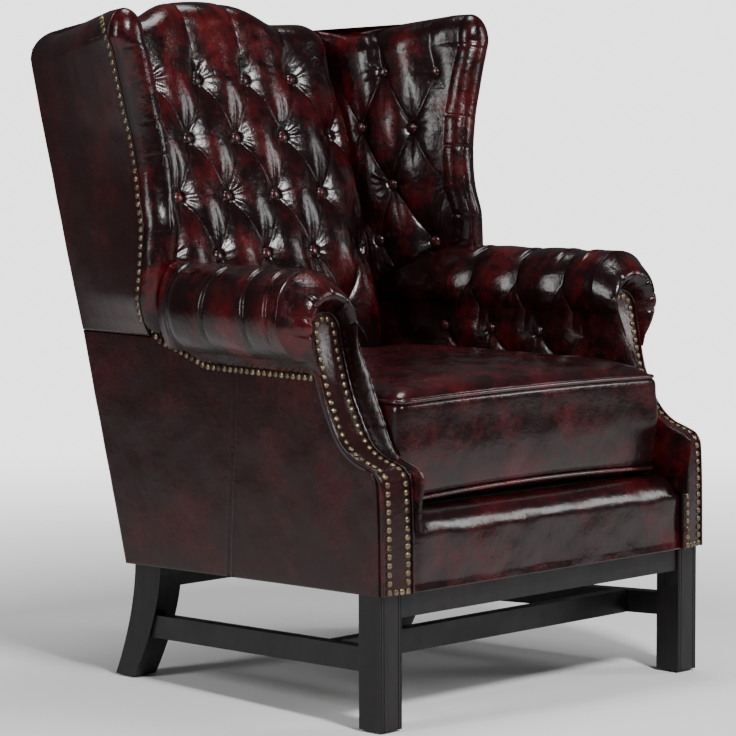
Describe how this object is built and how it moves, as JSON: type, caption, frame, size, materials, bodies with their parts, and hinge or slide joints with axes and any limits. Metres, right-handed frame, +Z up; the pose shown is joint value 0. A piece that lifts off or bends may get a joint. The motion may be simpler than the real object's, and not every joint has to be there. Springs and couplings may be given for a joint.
{
  "type": "wingback armchair",
  "caption": "Deep-buttoned wing armchair with scroll arms, nailed facings, a loose seat cushion and a dark square-legged base with stretchers",
  "frame": {"origin": "middle of the chair's bounding box on the floor", "axes": "+X to the viewer's right as the chair is seen from the front, -Y out of the chair's front, +Z up"},
  "size_m": [0.8198, 0.8303, 1.0456],
  "materials": {
    "show_wood": "satin stain",
    "frame_wood": "planed",
    "tufted_leather": "waxed, rubbed",
    "side_leather": "waxed, rubbed",
    "cushion_leather": "waxed, rubbed",
    "button_leather": "waxed",
    "piping": "waxed",
    "nail_brass": "antiqued",
    "webbing": "woven",
    "cloth": "woven",
    "glide": "matte"
  },
  "bodies": {
    "chair": {"front_left_leg": "show_wood", "front_right_leg": "show_wood", "rear_left_leg": "show_wood", "rear_right_leg": "show_wood", "leg_glides": "glide", "front_show_rail": "show_wood", "rear_show_rail": "show_wood", "left_stretcher": "show_wood", "right_stretcher": "show_wood", "cross_stretcher": "show_wood", "seat_front_rail": "frame_wood", "seat_back_rail": "frame_wood", "seat_left_rail": "frame_wood", "seat_right_rail": "frame_wood", "corner_blocks": "frame_wood", "leg_dowels": "frame_wood", "left_arm_post": "frame_wood", "right_arm_post": "frame_wood", "left_arm_rail": "frame_wood", "right_arm_rail": "frame_wood", "left_back_stile": "frame_wood", "right_back_stile": "frame_wood", "crest_rail": "frame_wood", "back_middle_rail": "frame_wood", "left_wing_post": "frame_wood", "right_wing_post": "frame_wood", "left_wing_rail": "frame_wood", "right_wing_rail": "frame_wood", "seat_webbing": "webbing", "cross_webbing": "webbing", "back_webbing": "webbing", "seat_deck": "cloth", "front_border": "tufted_leather", "dust_cover": "cloth", "inside_back": "tufted_leather", "outside_back": "side_leather", "left_inside_wing": "tufted_leather", "right_inside_wing": "tufted_leather", "left_outside_wing": "side_leather", "right_outside_wing": "side_leather", "left_inside_arm": "tufted_leather", "right_inside_arm": "tufted_leather", "left_outside_arm": "side_leather", "right_outside_arm": "side_leather", "left_arm_facing": "tufted_leather", "right_arm_facing": "tufted_leather", "back_buttons": "button_leather", "left_wing_buttons": "button_leather", "right_wing_buttons": "button_leather", "left_arm_buttons": "button_leather", "right_arm_buttons": "button_leather", "left_side_nails": "nail_brass", "right_side_nails": "nail_brass", "left_facing_nails": "nail_brass", "right_facing_nails": "nail_brass"},
    "cushion": {"seat_cushion": "cushion_leather", "cushion_top_piping": "piping", "cushion_bottom_piping": "piping"}
  },
  "joints": [
    {"name": "cushion_slide", "type": "slide", "parent": "chair", "child": "cushion", "axis": [0, -1, 0], "range_m": [0, 0.6]}
  ]
}
